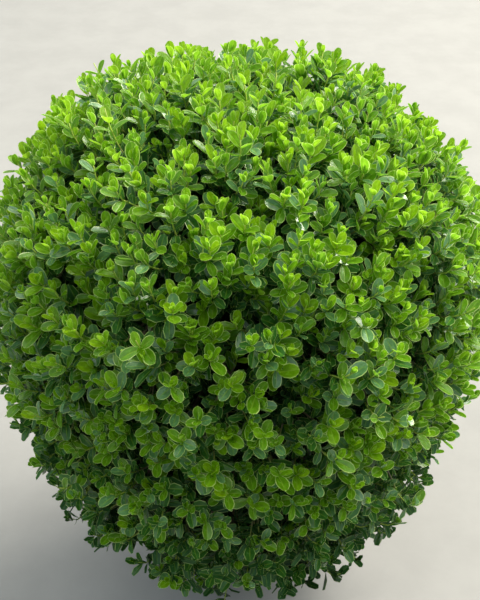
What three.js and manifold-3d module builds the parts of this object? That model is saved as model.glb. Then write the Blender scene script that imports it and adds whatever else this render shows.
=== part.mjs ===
// Box topiary ball: a clipped evergreen shrub, rooted in level ground.
// Millimetres, +Z up. The origin is the middle of the flat cut under the trunk, at ground level.
//
// A short flared trunk forks into five side boughs and a leader. The leader carries one clipped
// mass of foliage: an egg with broad shoulders whose twigs end in crossed pairs of leaves and
// stand out of a smaller closed core. Everything is grown from the named sizes below by one
// seeded rule, so the same shrub comes out on every run.
import * as THREE from "three";
import { mergeVertices } from "three/addons/utils/BufferGeometryUtils.js";
import Module from "manifold-3d";

// Outline of the clipped mass, measured at the furthest leaf tips.
const BALL_RADIUS = 312;
const WAIST_HEIGHT = 484; // level of the widest ring
const TOP_HEIGHT = 775;
const FOOT_HEIGHT = 14; // lowest leaf tip
const SHOULDER_POWER = 0.84; // below 1 gives the dome broad shoulders
const SKIRT_POWER = 1.12; // above 1 draws the lower half in towards a pointed foot

// The closed core that the leaves stand out of, as a share of the outline.
const CORE_SHARE = 0.8;
const CORE_SIDES = 18;
const CORE_RINGS = 9;
const CORE_LUMP = 0.02;

// Trunk: a short leaning stem with root buttresses.
const TRUNK_HEIGHT = 66;
const TRUNK_RADIUS = 21;
const TRUNK_TIP_RADIUS = 15;
const FLARE_RADIUS = 36;
const FLARE_HEIGHT = 26;
const BUTTRESSES = 5;
const BUTTRESS_DEPTH = 0.16;
const TRUNK_LEAN = 5; // sideways travel of the trunk's tip
const TRUNK_SIDES = 20;
const TRUNK_RINGS = 8;

// Side boughs leave the trunk's shoulder and end inside pockets in the core.
const BOUGHS = 5;
const BOUGH_RADIUS = 9;
const BOUGH_TIP_RADIUS = 6;
const BOUGH_ROOT_HEIGHT = 44;
const BOUGH_TIP_HEIGHT = 195;
const BOUGH_SPREAD = 80; // distance of a bough's tip from the trunk's middle
const BOUGH_SIDES = 10;
const BOUGH_RINGS = 6;
const CLEARANCE = 0.35; // gap kept between neighbouring solids

// The leader and the main boughs inside the mass, which the twigs fork from.
const LEADER_RADIUS = 12;
const LEADER_TIP_SHARE = 0.45; // how far the leader climbs from the waist to the top
const LOWEST_FORK_SHARE = 0.3; // no inner bough leaves the leader below this share of it
const INNER_BOUGHS = 24;
const INNER_BOUGH_SHARE = 0.55; // inner boughs end at this share of the outline
const INNER_BOUGH_RADIUS = 5;

// Twigs and leaves. Each leaf stands for a spray of the small real ones.
const TWIGS = 106;
const TWIG_RADIUS = 4.2;
const TWIG_TIP_RADIUS = 3.6;
const TWIG_END = 4; // stub of twig beyond its last pair of leaves
const SHORTEST_REACH = 0.94; // clipped twigs end between this share of the outline and 1
const LEAF_LENGTH = 60;
const LEAF_WIDTH = 34;
const LEAF_ROOT_DEPTH = 3; // thickness of a leaf at its root, inside its twig
const LEAF_SIZES = [0.88, 1.12]; // seeded range of a leaf's size, as shares of the above
const PAIR_SPACING = 24;
const PAIR_OPENINGS = [40, 62]; // degrees between a leaf and its twig, from the twig's tip down
const LEAF_SWAY = 9; // degrees of seeded variation in that angle
const TRUNK_SPACE = 42; // leaves below the core keep this far from the trunk's middle

const SEED = 14;
const MERGE_DISTANCE = 1e-3;
const SLIVER = 0.1; // edges and steps finer than this are smoothed away after fusing
const GOLDEN_ANGLE = Math.PI * (3 - Math.sqrt(5));
const HEART = new THREE.Vector3(0, 0, WAIST_HEIGHT);
const UP = new THREE.Vector3(0, 0, 1);

const wasm = await Module();
wasm.setup();

// A small seeded generator of numbers from 0 to 1.
function seededRandom(seed) {
  let state = seed;
  return () => {
    state = (state + 0x6d2b79f5) | 0;
    let t = Math.imul(state ^ (state >>> 15), 1 | state);
    t = (t + Math.imul(t ^ (t >>> 7), 61 | t)) ^ t;
    return ((t ^ (t >>> 14)) >>> 0) / 4294967296;
  };
}

// The outline's profile: a superellipse above the waist and another below it.
// latitude runs from -PI/2 at the foot to PI/2 at the top.
function profileAt(latitude) {
  const power = latitude < 0 ? SKIRT_POWER : SHOULDER_POWER;
  const height = latitude < 0 ? WAIST_HEIGHT - FOOT_HEIGHT : TOP_HEIGHT - WAIST_HEIGHT;
  const radius = BALL_RADIUS * Math.pow(Math.abs(Math.cos(latitude)), power);
  const rise = height * Math.pow(Math.abs(Math.sin(latitude)), power);
  return { radius, z: WAIST_HEIGHT + Math.sign(latitude) * rise };
}

function outlinePoint(latitude, azimuth) {
  const { radius, z } = profileAt(latitude);
  return new THREE.Vector3(radius * Math.cos(azimuth), radius * Math.sin(azimuth), z);
}

// Latitudes that cut the outline into bands of equal area, found by adding up narrow bands.
function equalAreaLatitudes(count) {
  const steps = 720;
  const areas = [0];
  const latitude = (i) => (i / steps - 0.5) * Math.PI;
  for (let i = 1; i <= steps; i++) {
    const a = profileAt(latitude(i - 1));
    const b = profileAt(latitude(i));
    const slant = Math.hypot(b.radius - a.radius, b.z - a.z);
    areas.push(areas[i - 1] + (a.radius + b.radius) * slant);
  }
  let i = 0;
  return Array.from({ length: count }, (_, n) => {
    const wanted = (areas[steps] * (n + 0.5)) / count;
    while (areas[i + 1] < wanted) i++;
    return latitude(i + (wanted - areas[i]) / (areas[i + 1] - areas[i]));
  });
}

// Evenly spread points of the outline: equal-area latitudes, each turned by the golden angle.
function evenPoints(count) {
  return equalAreaLatitudes(count).map((latitude, i) => outlinePoint(latitude, i * GOLDEN_ANGLE));
}

function shareOfOutline(point, share) {
  return HEART.clone().lerp(point, share);
}

// How far out a point lies: 1 on the outline, 0 at the heart of the ball.
function reachOf(point) {
  const height = point.z < WAIST_HEIGHT ? WAIST_HEIGHT - FOOT_HEIGHT : TOP_HEIGHT - WAIST_HEIGHT;
  const power = 2 / (point.z < WAIST_HEIGHT ? SKIRT_POWER : SHOULDER_POWER);
  const across = Math.hypot(point.x, point.y) / BALL_RADIUS;
  const along = Math.abs(point.z - WAIST_HEIGHT) / height;
  return Math.pow(Math.pow(across, power) + Math.pow(along, power), 1 / power);
}

// A solid from points and triangles, with points closer than MERGE_DISTANCE made one.
function solidFrom(positions, triangles) {
  const geometry = new THREE.BufferGeometry();
  geometry.setAttribute("position", new THREE.Float32BufferAttribute(positions, 3));
  geometry.setIndex(triangles);
  const merged = mergeVertices(geometry.toNonIndexed(), MERGE_DISTANCE);
  return new wasm.Manifold(
    new wasm.Mesh({
      numProp: 3,
      vertProperties: merged.attributes.position.array,
      triVerts: new Uint32Array(merged.index.array),
    }),
  );
}

// A closed stack of rings with flat ends. ring(i) gives the points of ring i, counted anticlockwise
// as seen from the stack's far end.
function stackSolid(rings, sides, ring) {
  const positions = [];
  const triangles = [];
  for (let i = 0; i < rings; i++) for (const point of ring(i)) positions.push(...point);
  for (let i = 0; i < rings - 1; i++) {
    for (let k = 0; k < sides; k++) {
      const a = i * sides + k;
      const b = i * sides + ((k + 1) % sides);
      triangles.push(a, b, b + sides, a, b + sides, a + sides);
    }
  }
  const last = (rings - 1) * sides;
  for (let k = 1; k < sides - 1; k++) {
    triangles.push(0, k + 1, k);
    triangles.push(last, last + k, last + k + 1);
  }
  return solidFrom(positions, triangles);
}

// A round limb that tapers along a path of points. grow widens it all over, for cutting clearances.
function limbSolid(path, radii, sides, grow = 0) {
  const chord = path[path.length - 1].clone().sub(path[0]).normalize();
  const reference = Math.abs(chord.z) > 0.9 ? new THREE.Vector3(1, 0, 0) : UP;
  return stackSolid(path.length, sides, (i) => {
    const before = path[Math.max(i - 1, 0)];
    const after = path[Math.min(i + 1, path.length - 1)];
    const along = after.clone().sub(before).normalize();
    const across = new THREE.Vector3().crossVectors(reference, along).normalize();
    const third = new THREE.Vector3().crossVectors(along, across);
    const centre = path[i].clone();
    if (i === 0) centre.addScaledVector(along, -grow);
    if (i === path.length - 1) centre.addScaledVector(along, grow);
    return Array.from({ length: sides }, (_, k) => {
      const angle = (2 * Math.PI * k) / sides;
      const radius = radii[i] + grow;
      return centre
        .clone()
        .addScaledVector(across, radius * Math.cos(angle))
        .addScaledVector(third, radius * Math.sin(angle));
    });
  });
}

// Trunk: level rings whose radius falls from the buttressed flare to the tip, with a slight lean.
function trunkMiddle(height) {
  return TRUNK_LEAN * Math.pow(height / TRUNK_HEIGHT, 1.5);
}

function trunkSolid(grow = 0) {
  return stackSolid(TRUNK_RINGS, TRUNK_SIDES, (i) => {
    const height = TRUNK_HEIGHT * Math.pow(i / (TRUNK_RINGS - 1), 1.3);
    const taper = THREE.MathUtils.lerp(TRUNK_RADIUS, TRUNK_TIP_RADIUS, height / TRUNK_HEIGHT);
    const flare = Math.pow(Math.max(0, 1 - height / FLARE_HEIGHT), 2);
    const z = i === TRUNK_RINGS - 1 ? height + grow : height;
    return Array.from({ length: TRUNK_SIDES }, (_, k) => {
      const angle = (2 * Math.PI * k) / TRUNK_SIDES;
      const buttress = 1 + BUTTRESS_DEPTH * flare * Math.cos(BUTTRESSES * angle);
      const radius = (taper + (FLARE_RADIUS - TRUNK_RADIUS) * flare) * buttress + grow;
      return [trunkMiddle(height) + radius * Math.cos(angle), radius * Math.sin(angle), z];
    });
  });
}

// Bough n leaves the trunk's middle, so that its root can be cut to the trunk's side, and arches out.
function boughPath(n) {
  const azimuth = (2 * Math.PI * (n + 0.25)) / BOUGHS;
  return Array.from({ length: BOUGH_RINGS }, (_, i) => {
    const share = i / (BOUGH_RINGS - 1);
    const out = BOUGH_SPREAD * (1 - Math.pow(1 - share, 2));
    return new THREE.Vector3(
      trunkMiddle(BOUGH_ROOT_HEIGHT) + out * Math.cos(azimuth),
      out * Math.sin(azimuth),
      THREE.MathUtils.lerp(BOUGH_ROOT_HEIGHT, BOUGH_TIP_HEIGHT, share),
    );
  });
}

function boughSolid(n, grow = 0) {
  const radii = Array.from({ length: BOUGH_RINGS }, (_, i) =>
    THREE.MathUtils.lerp(BOUGH_RADIUS, BOUGH_TIP_RADIUS, i / (BOUGH_RINGS - 1)),
  );
  return limbSolid(boughPath(n), radii, BOUGH_SIDES, grow);
}

// The core: the outline drawn in to CORE_SHARE, with shallow seeded lumps and a point at each end.
function coreSolid(random) {
  const rings = CORE_RINGS;
  const latitude = (i) => ((i + 0.5) / rings - 0.5) * Math.PI;
  return stackSolid(rings, CORE_SIDES, (i) =>
    Array.from({ length: CORE_SIDES }, (_, k) => {
      const azimuth = (2 * Math.PI * (k + 0.5 * (i % 2))) / CORE_SIDES;
      const share = CORE_SHARE + CORE_LUMP * (2 * random() - 1);
      return shareOfOutline(outlinePoint(latitude(i), azimuth), share);
    }),
  );
}

// One leaf: a blade along +Y, widest halfway and blunt at its tip. Its root is an upright edge at
// 0, as deep as LEAF_ROOT_DEPTH, from which the blade thins towards its rim.
function leafSolid(length, width) {
  const rim = [
    [0.5, 0.5],
    [0.94, 0.26],
    [0.94, -0.26],
    [0.5, -0.5],
  ];
  const half = LEAF_ROOT_DEPTH / 2;
  const positions = [0, 0, half, 0, 0, -half];
  for (const [along, across] of rim) positions.push(across * width, along * length, 0);
  const triangles = [0, 1, 2, 1, 0, rim.length + 1];
  for (let k = 2; k < rim.length + 1; k++) triangles.push(0, k, k + 1, 1, k + 1, k);
  return solidFrom(positions, triangles);
}

// A crossed pair of leaves at a point of a twig. Each leaf opens away from the twig by opening,
// with its upper face turned towards the twig's tip.
function leafPair(point, along, side, opening, random) {
  return [1, -1].flatMap((hand) => {
    const angle = THREE.MathUtils.degToRad(opening + LEAF_SWAY * (2 * random() - 1));
    const outward = side.clone().multiplyScalar(hand);
    const blade = along
      .clone()
      .multiplyScalar(Math.cos(angle))
      .addScaledVector(outward, Math.sin(angle));
    const face = along
      .clone()
      .multiplyScalar(Math.sin(angle))
      .addScaledVector(outward, -Math.cos(angle));
    const across = new THREE.Vector3().crossVectors(blade, face);
    const size = THREE.MathUtils.lerp(...LEAF_SIZES, random());
    const tip = point.clone().addScaledVector(blade, size * LEAF_LENGTH);
    const nearTrunk = Math.hypot(tip.x, tip.y) < TRUNK_SPACE && tip.z < BOUGH_TIP_HEIGHT;
    if (reachOf(tip) > 1 || nearTrunk) return [];
    const place = new THREE.Matrix4().makeBasis(across, blade, face).setPosition(point);
    return [leafSolid(size * LEAF_LENGTH, size * LEAF_WIDTH).transform(place.elements)];
  });
}

// One twig: a three-sided limb from its inner bough to its own point of the outline, with a pair
// of leaves at its tip and another, turned a quarter, further down.
function twigSolids(outer, forks, random) {
  const reach = THREE.MathUtils.lerp(SHORTEST_REACH, 1, random());
  const outward = outer.clone().sub(HEART);
  const leafRise = LEAF_LENGTH * Math.cos(THREE.MathUtils.degToRad(PAIR_OPENINGS[0]));
  const tip = HEART.clone().addScaledVector(outward, reach - leafRise / outward.length());
  const fork = forks.reduce((a, b) => (a.distanceTo(tip) < b.distanceTo(tip) ? a : b));
  const along = tip.clone().sub(fork).normalize();
  const turn = 2 * Math.PI * random();
  const across = new THREE.Vector3().crossVectors(UP, along).normalize();
  const sides = [0, 1].map((n) => across.clone().applyAxisAngle(along, turn + (n * Math.PI) / 2));
  const leaves = PAIR_OPENINGS.flatMap((opening, n) => {
    const point = tip.clone().addScaledVector(along, -n * PAIR_SPACING);
    return leafPair(point, along, sides[n], opening, random);
  });
  if (!leaves.length) return [];
  const end = tip.clone().addScaledVector(along, TWIG_END);
  return [limbSolid([fork, end], [TWIG_RADIUS, TWIG_TIP_RADIUS], 3), ...leaves];
}

function largestShell(solid) {
  return solid.decompose().reduce((a, b) => (a.volume() > b.volume() ? a : b));
}

// The outer shell of a union: slivers are removed, sealed hollows filled and loose scraps dropped,
// before and after its close points are merged, because merging can seal a pinhole.
function outerShell(solid) {
  const tidy = largestShell(solid).asOriginal().simplify(SLIVER);
  const { vertProperties, triVerts } = tidy.getMesh();
  return largestShell(solidFrom(Array.from(vertProperties), Array.from(triVerts)));
}

// The clipped mass: leader, inner boughs, core and every twig with its leaves, fused into one
// solid and cut clear of the trunk and the side boughs.
function foliageSolid(limbsGrown) {
  const random = seededRandom(SEED);
  const leaderFoot = new THREE.Vector3(trunkMiddle(TRUNK_HEIGHT), 0, TRUNK_HEIGHT + CLEARANCE);
  const leaderTip = HEART.clone().lerp(new THREE.Vector3(0, 0, TOP_HEIGHT), LEADER_TIP_SHARE);
  const forks = evenPoints(INNER_BOUGHS).map((point) => shareOfOutline(point, INNER_BOUGH_SHARE));
  const solids = [
    coreSolid(random),
    limbSolid([leaderFoot, leaderTip], [LEADER_RADIUS, INNER_BOUGH_RADIUS], BOUGH_SIDES),
  ];
  for (const fork of forks) {
    const share = THREE.MathUtils.clamp(fork.z / TOP_HEIGHT, LOWEST_FORK_SHARE, 1);
    const root = leaderFoot.clone().lerp(leaderTip, share);
    solids.push(limbSolid([root, fork], [INNER_BOUGH_RADIUS, TWIG_RADIUS], 3));
  }
  for (const outer of evenPoints(TWIGS)) solids.push(...twigSolids(outer, forks, random));
  const fused = wasm.Manifold.union(solids);
  const cut = limbsGrown.reduce((rest, limb) => rest.subtract(limb), fused);
  return outerShell(cut);
}

function meshOf(name, solid, material) {
  const { numProp, vertProperties, triVerts } = solid.getMesh();
  if (numProp !== 3) throw new Error(name + " has more than positions");
  const geometry = new THREE.BufferGeometry();
  geometry.setAttribute("position", new THREE.BufferAttribute(vertProperties, 3));
  geometry.setIndex(new THREE.BufferAttribute(triVerts, 1));
  geometry.computeVertexNormals();
  const mesh = new THREE.Mesh(geometry, material);
  mesh.name = name;
  return mesh;
}

const bark = new THREE.MeshStandardMaterial({ color: 0x6e6250, roughness: 0.9, metalness: 0 });
const leaf = new THREE.MeshStandardMaterial({ color: 0x3c6b1c, roughness: 0.45, metalness: 0 });

const boughNumbers = Array.from({ length: BOUGHS }, (_, n) => n);
const trunkCleared = trunkSolid(CLEARANCE);
const limbsGrown = [trunkCleared, ...boughNumbers.map((n) => boughSolid(n, CLEARANCE))];

const shrub = new THREE.Group();
shrub.add(meshOf("trunk", trunkSolid(), bark));
for (const n of boughNumbers) {
  const bough = boughSolid(n).subtract(trunkCleared);
  shrub.add(meshOf("bough_" + (n + 1), outerShell(bough), bark));
}
shrub.add(meshOf("foliage_ball", foliageSolid(limbsGrown), leaf));

export default shrub;
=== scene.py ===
"""Box topiary ball: bark, twigs and leaves grown round the packed frame.

A leader, inner boughs, branches and shoots fork from one another by one seeded rule, so that the
shoots end evenly over an egg-shaped outline. Each shoot carries crossed pairs of small leaves,
young and bright at its tip, older and darker further down.
"""

import math

import bpy
import numpy as np
from bpy.props import FloatProperty, FloatVectorProperty, IntProperty, PointerProperty
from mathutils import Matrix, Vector


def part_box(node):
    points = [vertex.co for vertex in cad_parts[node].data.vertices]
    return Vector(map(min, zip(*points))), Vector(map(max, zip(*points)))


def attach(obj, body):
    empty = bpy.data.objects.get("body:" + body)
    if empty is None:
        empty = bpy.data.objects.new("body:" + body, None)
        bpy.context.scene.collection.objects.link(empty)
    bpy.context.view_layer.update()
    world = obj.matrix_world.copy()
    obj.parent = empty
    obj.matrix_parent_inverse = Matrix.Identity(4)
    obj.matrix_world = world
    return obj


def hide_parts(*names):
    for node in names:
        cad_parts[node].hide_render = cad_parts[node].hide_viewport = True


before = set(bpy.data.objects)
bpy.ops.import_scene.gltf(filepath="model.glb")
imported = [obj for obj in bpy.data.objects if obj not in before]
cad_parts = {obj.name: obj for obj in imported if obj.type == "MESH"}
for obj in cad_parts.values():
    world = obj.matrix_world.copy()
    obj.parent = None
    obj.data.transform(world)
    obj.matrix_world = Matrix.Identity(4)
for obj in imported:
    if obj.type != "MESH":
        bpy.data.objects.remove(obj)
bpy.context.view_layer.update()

bl_info = {
    "name": "Box Topiary Ball",
    "version": (1, 0, 0),
    "blender": (4, 5, 0),
    "location": "3D View > Sidebar > Topiary",
    "description": "Grows a clipped box ball: bark, twigs, leaves and a plain studio",
    "category": "Object",
}

BALL_LOW, BALL_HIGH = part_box("foliage_ball")
TRUNK_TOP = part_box("trunk")[1].z
BOUGHS = sorted(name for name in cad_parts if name.startswith("bough_"))

GOLDEN_ANGLE = math.pi * (3 - math.sqrt(5))
UP = np.array([0.0, 0.0, 1.0])

# The frequencies of the waves in smooth noise, as shares of the one that is asked for.
FREQUENCY_RANGE = (0.7, 1.6)
# The range that nearly all values of a Noise node lie in.
NOISE_RANGE = (0.3, 0.7)

# Where the points of a leaf blade lie along it, for near, shaded and hidden leaves.
FINE = (0, 0.12, 0.36, 0.64, 0.85, 0.965, 1)
PLAIN = (0, 0.22, 0.6, 0.92, 1)
COARSE = (0, 0.4, 0.88, 1)

# The tones of leaf, from young to older ones, with the cool tone beside "green": a bluer green
# whose paleness is partly a painted sheen of sky. The darker tones are partly the leaves' own age
# and partly painted shade. Each is a piece with its own finish: where its points lie, the strength
# of the pale rim, which is partly the margin's own colour and partly a painted highlight, the share
# of light that comes through a blade, and its index of refraction.
FINISHES = {
    "young": (FINE, 0.6, 0.56, 1.5),
    "fresh": (FINE, 0.75, 0.54, 1.55),
    "green": (FINE, 0.82, 0.45, 1.6),
    "cool_sheen": (FINE, 0.8, 0.32, 1.85),
    "deep": (PLAIN, 0.55, 0.24, 1.5),
    "old_and_shaded": (COARSE, 0.3, 0.2, 1.3),
    "inner": (COARSE, 0.2, 0.18, 1.25),
}
TONES = tuple(FINISHES)

# The last step of age at which a leaf has each tone. Beyond them all it is "inner", and some of
# the "green" leaves take the cool tone with its painted sky sheen. A share of all leaves and those
# of weak shoots are a step older, and those of strong shoots a step younger. Shade and heart
# shoots have darker leaves by their own steps: partly older, partly painted shade.
LAST_STEP = {"young": 0, "fresh": 1, "green": 3, "deep": 5, "old_and_shaded": 9}
COOL_SHEEN_SHARE = 0.3
OLDER_SHARE = 0.12
WEAK_BELOW, STRONG_ABOVE = 0.34, 0.8
SHADE_STEPS, HEART_STEPS = 6, 12

# A shoot's vigour, held between 0 and 1: its base, its own seeded part, and the swing that its
# patch of growth adds. The size of its leaves grows with it, from that on the weakest shoot.
BASE_VIGOUR, OWN_VIGOUR, PATCH_SWING = 0.13, 0.75, 0.13
WEAKEST_SIZE, VIGOUR_GAIN = 0.88, 0.24

# The share of the top's height where leaves begin to be younger and brighter, partly fresh growth
# and partly painted light on the top, the span over which they do, and the range of a shoot's own
# factor on how far its height changes its leaves' tone. Low down that darkens them, partly by age
# and partly as painted shade at the foot.
DAWN_START, DAWN_SPAN = 0.7, 0.3
DUSK_RANGE = (0.3, 1.7)

# Distances along a shoot in spacings of its pairs: from its tip to the first pair, and from there
# to the second. Then the range of the factor on a shoot's spacing.
BUD_GAP, FIRST_GAP = 0.12, 0.55
SPACING_RANGE = (0.85, 1.2)

# How a pair of leaves changes with its age, counted in pairs from the bud: the angle from the stem
# in degrees, the share of full size, and the bend of the blade. Then how strongly blades and their
# faces turn upwards.
OPENING_BY_AGE = ((0, 1, 2, 3, 6), (16, 31, 44, 54, 70))
SIZE_BY_AGE = ((0, 1, 2, 6), (0.52, 0.84, 0.98, 1.04))
BEND_BY_AGE = ((0, 2, 6), (0.1, -0.04, -0.14))
BLADE_LIFT, FACE_LIFT = 0.08, 0.45

# Seeded scatter of the leaves. Turn and roll are in radians, and the opening is in degrees.
TURN_SCATTER, OPENING_SCATTER, ROLL_SCATTER = 0.16, 10, 0.26
SIZE_SCATTER, WIDTH_SCATTER, BEND_SCATTER = 0.1, 0.07, 0.06

# No leaf's tip lies beyond this reach or this near the trunk's middle in metres, none grows on this
# share of its shoot next to the root, and a few are lost.
REACH_LIMIT, TRUNK_CLEARANCE, ROOT_CLEARANCE, LOST_SHARE = 1.05, 0.04, 0.04, 0.03

# Powers of the leaf's outline: its swell from the root and its bluntness at the tip.
SWELL_POWER, TIP_POWER = 0.6, 2.2

# The limbs, in metres: how far the leader's foot stands to the side, its bow, the sag of boughs
# and branches, the seeded scatter of tips, and how far inside its tip a shoot looks for its parent.
# The leader's fit is its radius as a share of the trunk's tip, and the lowest fork is a share of
# the leader's height.
LEADER_FOOT, LEADER_BOW = 0.005, np.array([0.004, 0.003, 0])
LEADER_FIT, LOWEST_FORK = 0.95, 0.3
INNER_SAG, BRANCH_SAG = 0.02, 0.008
BRANCH_SCATTER, SHOOT_SCATTER = 0.006, 0.009
SHOOT_DEPTH = 0.02

# The shoots' habit: the level of the noise where hollows begin, the greatest depth of hollows and
# of gaps, the share of shoots that the last clipping reached, and how strongly the tips point
# outwards and astray.
HOLLOW_START, HOLLOW_LIMIT, GAP_LIMIT = 0.35, 1.2, 1.3
CLIPPED_SHARE, OUTWARD, ASTRAY = 0.92, 0.8, 0.38

# The trunk leans by its height to this power. The first side bough stands at this share of the
# turn between two, and each ends this far below the top of its solid, in metres.
LEAN_POWER, FIRST_BOUGH, BOUGH_SINK = 1.5, 0.25, 0.004

# Each light's place and edge in metres, and its tint. Both lights are turned to LIT_PLACE.
LIT_PLACE = Vector((0, 0, 0.45))
KEY_LIGHT = (Vector((2.5, 2.1, 4.5)), 3.0, (1, 0.96, 0.85))
FILL_LIGHT = (Vector((-1.8, -2.0, 2.6)), 2.6, (0.93, 0.97, 1))

# How far beside the middle of the waist the camera aims, and half the floor's side, in metres.
AIM_SHIFT = Vector((0.003, 0, 0))
FLOOR_HALF = 40.0


# ---------------------------------------------------------------- sizes and colours to change


def length(name, description, default):
    """A length in metres."""
    return FloatProperty(name=name, description=description, default=default, min=0, unit="LENGTH")


def number(name, description, default):
    """A plain number, such as a share or a power."""
    return FloatProperty(name=name, description=description, default=default, precision=3)


def whole(name, description, default):
    """A whole number."""
    return IntProperty(name=name, description=description, default=default)


def colour(name, description, default):
    """A colour as red, green and blue."""
    return FloatVectorProperty(
        name=name, description=description, default=default, subtype="COLOR", min=0, max=1
    )


class BallSettings(bpy.types.PropertyGroup):
    """Outline of the clipped ball, as the frame gives it."""

    radius: length("Radius", "Half the width of the ball", (BALL_HIGH.x - BALL_LOW.x) / 2)
    top: length("Top", "Height of the highest leaf tip", BALL_HIGH.z)
    foot: length("Foot", "Height of the lowest leaf tip", BALL_LOW.z / 2)
    waist_share: number("Waist", "Height of the widest ring as a share of the top", 0.63)
    shoulder_power: number("Shoulder power", "Below 1 gives the dome broad shoulders", 0.84)
    skirt_power: number("Skirt power", "Above 1 draws the lower half in to its foot", 1.12)
    hollow: number("Hollows", "Depth of the ball's hollows as a share of its radius", 0.14)
    hollow_width: length("Hollow width", "Distance between the hollows", 0.1)
    gap: number("Gaps", "Depth of the gaps between sprays as a share of the radius", 0.1)
    gap_width: length("Gap width", "Distance between the gaps", 0.048)
    skirt_gap: number("Skirt gaps", "By what share the gaps are deeper near the foot", 1.3)
    patch_width: length("Patch width", "Distance between patches of fresh growth", 0.16)
    seed: whole("Seed", "Seed of everything that grows", 5)


class WoodSettings(bpy.types.PropertyGroup):
    """Limbs, from the leader to the shoots."""

    leader_share: number("Leader", "How far the leader climbs from waist to top", 0.45)
    inner_boughs: whole("Inner boughs", "Boughs on the leader", 24)
    inner_share: number("Inner reach", "Reach of the inner boughs, 1 at the outline", 0.55)
    inner_radius: length("Inner radius", "Radius of an inner bough at its root", 0.005)
    branches: whole("Branches", "Branches on the inner boughs", 260)
    branch_share: number("Branch reach", "Reach of the branches, 1 at the outline", 0.76)
    branch_radius: length("Branch radius", "Radius of a branch at its root", 0.0026)
    shoots: whole("Shoots", "Leafy shoots on the branches", 3300)
    shade_shoots: whole("Shade shoots", "Shoots below the skin", 2100)
    shade_share: number("Shade reach", "Reach of the shade shoots, 1 at the outline", 0.83)
    heart_shoots: whole("Heart shoots", "Innermost shoots", 1500)
    heart_share: number("Heart reach", "Reach of the heart shoots, 1 at the outline", 0.6)
    shoot_radius: length("Shoot radius", "Radius of a shoot at its root", 0.0013)
    shoot_tip_radius: length("Shoot tip radius", "Radius of a shoot at its bud", 0.0007)
    shoot_unevenness: number("Shoot unevenness", "Seeded loss of a shoot's reach", 0.065)
    skirt_unevenness: number("Skirt unevenness", "Further seeded loss near the foot", 0.16)
    outgrowth: number("Outgrowth", "Gain in reach of the shoots that stand out", 0.05)
    lift: number("Lift", "How strongly a shoot turns upwards", 1.7)


class BarkSettings(bpy.types.PropertyGroup):
    """Trunk and side boughs."""

    radius: length("Radius", "Radius of the trunk above its flare", 0.021)
    tip_radius: length("Tip radius", "Radius of the trunk at its fork", 0.015)
    flare_radius: length("Flare radius", "Radius of the root flare", 0.036)
    flare_height: length("Flare height", "Height over which the flare fades", 0.026)
    buttress_depth: number("Buttress depth", "Swing of the flare's radius", 0.16)
    lean: length("Lean", "Sideways travel of the trunk's tip", 0.005)
    bough_spread: length("Bough spread", "How far out a side bough's tip lies", 0.08)
    bough_start: length("Bough start", "Height where a side bough leaves the trunk", 0.044)
    bough_radius: length("Bough radius", "Radius of a side bough at its root", 0.009)
    bough_tip_radius: length("Bough tip radius", "Radius of a side bough at its tip", 0.006)
    relief: length("Relief", "Depth of the bark's furrows", 0.0011)
    old_colour: colour("Old bark", "Bark of trunk and boughs", (0.155, 0.118, 0.08))
    furrow_colour: colour("Furrows", "Bark between its ridges", (0.045, 0.032, 0.022))
    twig_colour: colour("Twigs", "Bark of the branches", (0.17, 0.125, 0.075))
    stem_colour: colour("Stems", "Skin of the leafy shoots", (0.34, 0.45, 0.05))


class LeafSettings(bpy.types.PropertyGroup):
    """Leaves and their tones."""

    length: length("Length", "Length of a full-grown leaf", 0.0196)
    width: length("Width", "Width of a full-grown leaf", 0.0109)
    pairs: whole("Pairs", "Pairs of leaves on a shoot", 7)
    shade_pairs: whole("Shade pairs", "Pairs on a shade shoot", 5)
    shade_growth: number("Shade growth", "Size of shade leaves, 1 for full-grown", 1.15)
    heart_pairs: whole("Heart pairs", "Pairs on a heart shoot", 4)
    heart_growth: number("Heart growth", "Size of heart leaves, 1 for full-grown", 1.6)
    spacing: length("Spacing", "Distance between two pairs", 0.0086)
    cup: number("Cup", "Rise of the rim for each unit of half width", 0.34)
    # Dusk and dawn shift tone by height: darker low down, partly by age and partly as painted
    # shade, and brighter at the top, partly fresh growth and partly painted light.
    dusk: number("Dusk", "Steps of tone by which the lowest leaves are older", 8.0)
    dawn: number("Dawn", "Steps of tone by which the highest leaves are younger", 1.0)
    dusk_share: number("Dusk height", "Height where that begins, as a share of the top", 0.62)
    young: colour("Young", "Leaves at the tips", (0.27, 0.5, 0.009))
    fresh: colour("Fresh", "Leaves below the tips", (0.2, 0.43, 0.008))
    green: colour("Green", "Full-grown leaves", (0.138, 0.335, 0.008))
    # The cool colour is a bluer green whose paleness stands partly for a painted sheen of sky.
    cool_sheen: colour("Cool", "Full-grown leaves with a bloom", (0.125, 0.29, 0.1))
    # The three darkest colours below are partly the leaves' own age and partly painted shade in the
    # hollows, the inner storeys and at the foot.
    deep: colour("Deep", "Leaves in the shade", (0.04, 0.145, 0.018))
    old_and_shaded: colour("Old", "Leaves far down a shoot", (0.026, 0.09, 0.02))
    inner: colour("Inner", "Innermost leaves", (0.016, 0.05, 0.012))
    # The rim colour is partly the thickened margin's own and partly a painted highlight.
    rim: colour("Rim", "Thickened rim of a leaf", (0.68, 0.84, 0.27))
    rib: colour("Rib", "Midrib of a leaf", (0.36, 0.56, 0.05))


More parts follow.
